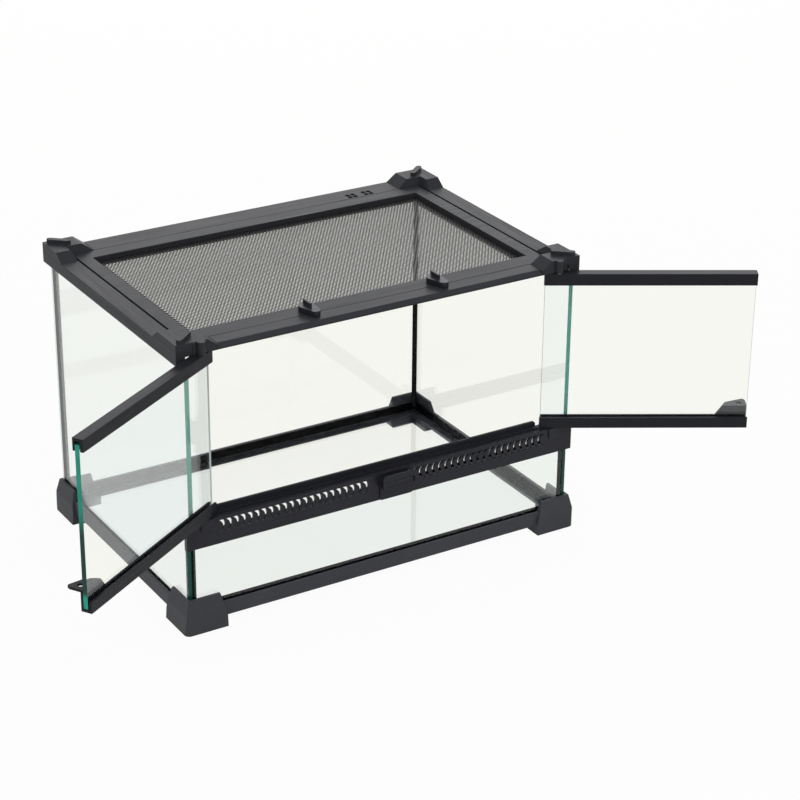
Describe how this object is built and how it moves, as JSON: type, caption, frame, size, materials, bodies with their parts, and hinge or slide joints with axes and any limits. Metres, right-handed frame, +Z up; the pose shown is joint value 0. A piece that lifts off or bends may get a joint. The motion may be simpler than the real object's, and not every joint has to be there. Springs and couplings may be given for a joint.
{
  "type": "terrarium cabinet",
  "caption": "Glass terrarium in a black moulded frame: swing doors over a vent bar with a slide latch, a lift-out screen top with turn clips, raised stacking corners and corner feet.",
  "frame": {"origin": "on the ground, under the middle of the rectangular frame (the middle of the four feet)", "axes": "+X towards the cabinet's right as seen from its front, +Y from the front to the back, +Z up"},
  "size_m": [0.7952, 0.4324, 0.3212],
  "materials": {
    "black_plastic": "fine moulded grain, slightly shiny on the edges",
    "dark_plastic": "smooth satin moulding",
    "float_glass": "clear float glass with ground edges",
    "silicone": "smooth cured bead",
    "mesh_metal": "punched sheet with a black coat",
    "pin_steel": "plain drawn wire"
  },
  "bodies": {
    "frame": {"foot_front_left": "black_plastic", "foot_front_right": "black_plastic", "foot_back_left": "black_plastic", "foot_back_right": "black_plastic", "rail_bottom_front": "black_plastic", "rail_bottom_back": "black_plastic", "rail_bottom_left": "black_plastic", "rail_bottom_right": "black_plastic", "glass_floor": "float_glass", "glass_left": "float_glass", "glass_right": "float_glass", "glass_back": "float_glass", "glass_front_low": "float_glass", "silicone_beads": "silicone", "vent_bar": "dark_plastic", "frame_top_left": "black_plastic", "frame_top_right": "black_plastic", "frame_top_front": "black_plastic", "frame_top_back": "black_plastic"},
    "screen": {"screen_frame": "black_plastic", "screen_retainer": "black_plastic", "screen_mesh": "mesh_metal", "clip_pins": "pin_steel"},
    "clip_left": {"clip_left": "dark_plastic"},
    "clip_right": {"clip_right": "dark_plastic"},
    "door_left": {"door_glass_left": "float_glass", "door_rail_upper_left": "black_plastic", "door_rail_lower_left": "black_plastic", "hinge_pins_left": "pin_steel"},
    "door_right": {"door_glass_right": "float_glass", "door_rail_upper_right": "black_plastic", "door_rail_lower_right": "black_plastic", "hinge_pins_right": "pin_steel"},
    "latch": {"latch_slide": "dark_plastic", "latch_keeper": "dark_plastic"}
  },
  "joints": [
    {"name": "door_left_hinge", "type": "hinge", "parent": "frame", "child": "door_left", "pos_m": [-0.2085, -0.159, 0.22], "axis": [0, 0, -1], "range_deg": [-148, 5]},
    {"name": "door_right_hinge", "type": "hinge", "parent": "frame", "child": "door_right", "pos_m": [0.2085, -0.159, 0.22], "axis": [0, 0, 1], "range_deg": [-150, 3]},
    {"name": "screen_lift", "type": "slide", "parent": "frame", "child": "screen", "axis": [0, 0, 1], "range_m": [0, 0.03]},
    {"name": "clip_left_turn", "type": "hinge", "parent": "screen", "child": "clip_left", "pos_m": [-0.075, -0.126, 0.31], "axis": [0, 0, 1], "range_deg": [0, 90]},
    {"name": "clip_right_turn", "type": "hinge", "parent": "screen", "child": "clip_right", "pos_m": [0.075, -0.126, 0.31], "axis": [0, 0, 1], "range_deg": [0, 90]},
    {"name": "latch_lift", "type": "slide", "parent": "frame", "child": "latch", "axis": [0, 0, 1], "range_m": [0, 0.005]}
  ]
}
